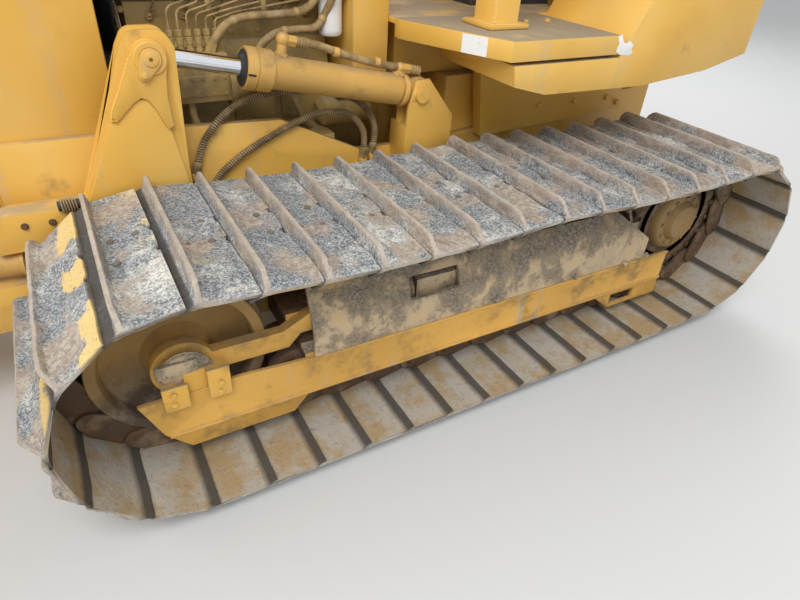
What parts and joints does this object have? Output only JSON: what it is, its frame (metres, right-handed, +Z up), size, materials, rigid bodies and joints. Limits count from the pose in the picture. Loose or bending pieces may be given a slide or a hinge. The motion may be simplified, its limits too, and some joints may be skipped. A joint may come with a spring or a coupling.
{
  "type": "crawler bulldozer",
  "caption": "Crawler bulldozer with wide tracks, open operator station under a canopy, open-sided engine, and a blade that lifts, angles and tilts on a frame beside the hull.",
  "frame": {"origin": "on the ground, under the middle of the machine's overall box", "axes": "+X forward towards the blade, +Y to the machine's left, +Z up"},
  "size_m": [4.15, 3.14, 2.696],
  "materials": {
    "yellow_paint": "satin, worn",
    "engine_paint": "oily satin",
    "track_steel": "worn, with dried mud",
    "chrome_rod": "polished",
    "black_paint": "satin",
    "seat_vinyl": "grained"
  },
  "bodies": {
    "root": {"air_cleaner": "black_paint", "canopy_posts": "yellow_paint", "canopy_roof": "yellow_paint", "cylinder_head": "engine_paint", "dash_cowl": "yellow_paint", "drawbar": "yellow_paint", "engine_block": "engine_paint", "exhaust_stack": "black_paint", "floor": "yellow_paint", "front_grille": "yellow_paint", "fuel_system": "engine_paint", "fuel_tank": "yellow_paint", "hood": "yellow_paint", "lamps": "black_paint", "left_fender": "yellow_paint", "left_final_drive": "yellow_paint", "left_hoses": "black_paint", "left_idler": "yellow_paint", "left_rollers": "track_steel", "left_sprocket": "yellow_paint", "left_track": "track_steel", "left_track_frame": "yellow_paint", "levers": "black_paint", "main_frame": "yellow_paint", "radiator": "black_paint", "radiator_guard": "yellow_paint", "rear_case": "yellow_paint", "right_fender": "yellow_paint", "right_final_drive": "yellow_paint", "right_hoses": "black_paint", "right_idler": "yellow_paint", "right_rollers": "track_steel", "right_sprocket": "yellow_paint", "right_track": "track_steel", "right_track_frame": "yellow_paint", "seat_backrest": "seat_vinyl", "seat_base": "black_paint", "seat_cushion": "seat_vinyl"},
    "blade_frame": {"c_frame": "yellow_paint"},
    "blade_yoke": {"blade_ball": "yellow_paint"},
    "dozer_blade": {"blade": "yellow_paint", "cutting_edge": "track_steel"},
    "fan": {"engine_fan": "black_paint"},
    "tilt_barrel": {"tilt_barrel": "yellow_paint"},
    "tilt_rod": {"tilt_rod": "chrome_rod"},
    "left_lift_barrel": {"left_lift_barrel": "yellow_paint"},
    "left_lift_rod": {"left_lift_rod": "chrome_rod"},
    "right_lift_barrel": {"right_lift_barrel": "yellow_paint"},
    "right_lift_rod": {"right_lift_rod": "chrome_rod"},
    "left_angle_barrel": {"left_angle_barrel": "yellow_paint"},
    "left_angle_rod": {"left_angle_rod": "chrome_rod"},
    "right_angle_barrel": {"right_angle_barrel": "yellow_paint"},
    "right_angle_rod": {"right_angle_rod": "chrome_rod"}
  },
  "joints": [
    {"name": "blade_lift", "type": "hinge", "parent": "root", "child": "blade_frame", "pos_m": [-0.525, 0, 0.375], "axis": [0, -1, 0], "range_deg": [-11, 22]},
    {"name": "blade_angle", "type": "hinge", "parent": "blade_frame", "child": "blade_yoke", "pos_m": [1.48, 0, 0.43], "axis": [0, 0, 1], "range_deg": [-25, 25]},
    {"name": "blade_tilt", "type": "hinge", "parent": "blade_yoke", "child": "dozer_blade", "pos_m": [1.7, 0, 0.43], "axis": [1, 0, 0], "range_deg": [-8, 8]},
    {"name": "fan_spin", "type": "hinge", "parent": "root", "child": "fan", "pos_m": [0.523, 0, 0.96], "axis": [1, 0, 0], "continuous": true},
    {"name": "left_lift_swing", "type": "hinge", "parent": "root", "child": "left_lift_barrel", "pos_m": [-0.425, 0.463, 0.91], "axis": [0, -1, 0], "range_deg": [-14.8, 29.29]},
    {"name": "left_lift_stroke", "type": "slide", "parent": "left_lift_barrel", "child": "left_lift_rod", "axis": [0.9808, 0, 0.1953], "range_m": [-0.1796, 0.0908]},
    {"name": "right_lift_swing", "type": "hinge", "parent": "root", "child": "right_lift_barrel", "pos_m": [-0.425, -0.463, 0.91], "axis": [0, -1, 0], "range_deg": [-14.8, 29.29]},
    {"name": "right_lift_stroke", "type": "slide", "parent": "right_lift_barrel", "child": "right_lift_rod", "axis": [0.9808, 0, 0.1953], "range_m": [-0.1796, 0.0908]},
    {"name": "left_angle_swing", "type": "hinge", "parent": "blade_frame", "child": "left_angle_barrel", "pos_m": [0.84, 0.468, 0.527], "axis": [0, 0, 1], "range_deg": [-3.02, 3.02]},
    {"name": "left_angle_stroke", "type": "slide", "parent": "left_angle_barrel", "child": "left_angle_rod", "axis": [0.9854, -0.17, 0], "range_m": [-0.1524, 0.1524]},
    {"name": "right_angle_swing", "type": "hinge", "parent": "blade_frame", "child": "right_angle_barrel", "pos_m": [0.84, -0.468, 0.527], "axis": [0, 0, 1], "range_deg": [-3.02, 3.02]},
    {"name": "right_angle_stroke", "type": "slide", "parent": "right_angle_barrel", "child": "right_angle_rod", "axis": [0.9854, 0.17, 0], "range_m": [-0.1524, 0.1524]},
    {"name": "tilt_swing", "type": "hinge", "parent": "blade_yoke", "child": "tilt_barrel", "pos_m": [1.632, 0.196, 0.905], "axis": [1, 0, 0], "range_deg": [-5.81, 5.81]},
    {"name": "tilt_stroke", "type": "slide", "parent": "tilt_barrel", "child": "tilt_rod", "axis": [0, -1, 0], "range_m": [-0.0682, 0.0682]}
  ],
  "couplings": [
    {"joint": "left_lift_swing", "follows": "blade_lift", "ratio": 1.3179},
    {"joint": "left_lift_stroke", "follows": "blade_lift", "m_per_rad": -0.46246},
    {"joint": "right_lift_swing", "follows": "blade_lift", "ratio": 1.3179},
    {"joint": "right_lift_stroke", "follows": "blade_lift", "m_per_rad": -0.46246},
    {"joint": "left_angle_swing", "follows": "blade_angle", "ratio": 0.1087},
    {"joint": "left_angle_stroke", "follows": "blade_angle", "m_per_rad": -0.3447},
    {"joint": "right_angle_swing", "follows": "blade_angle", "ratio": 0.1087},
    {"joint": "right_angle_stroke", "follows": "blade_angle", "m_per_rad": 0.3447},
    {"joint": "tilt_swing", "follows": "blade_tilt", "ratio": 0.6893},
    {"joint": "tilt_stroke", "follows": "blade_tilt", "m_per_rad": 0.47445}
  ]
}
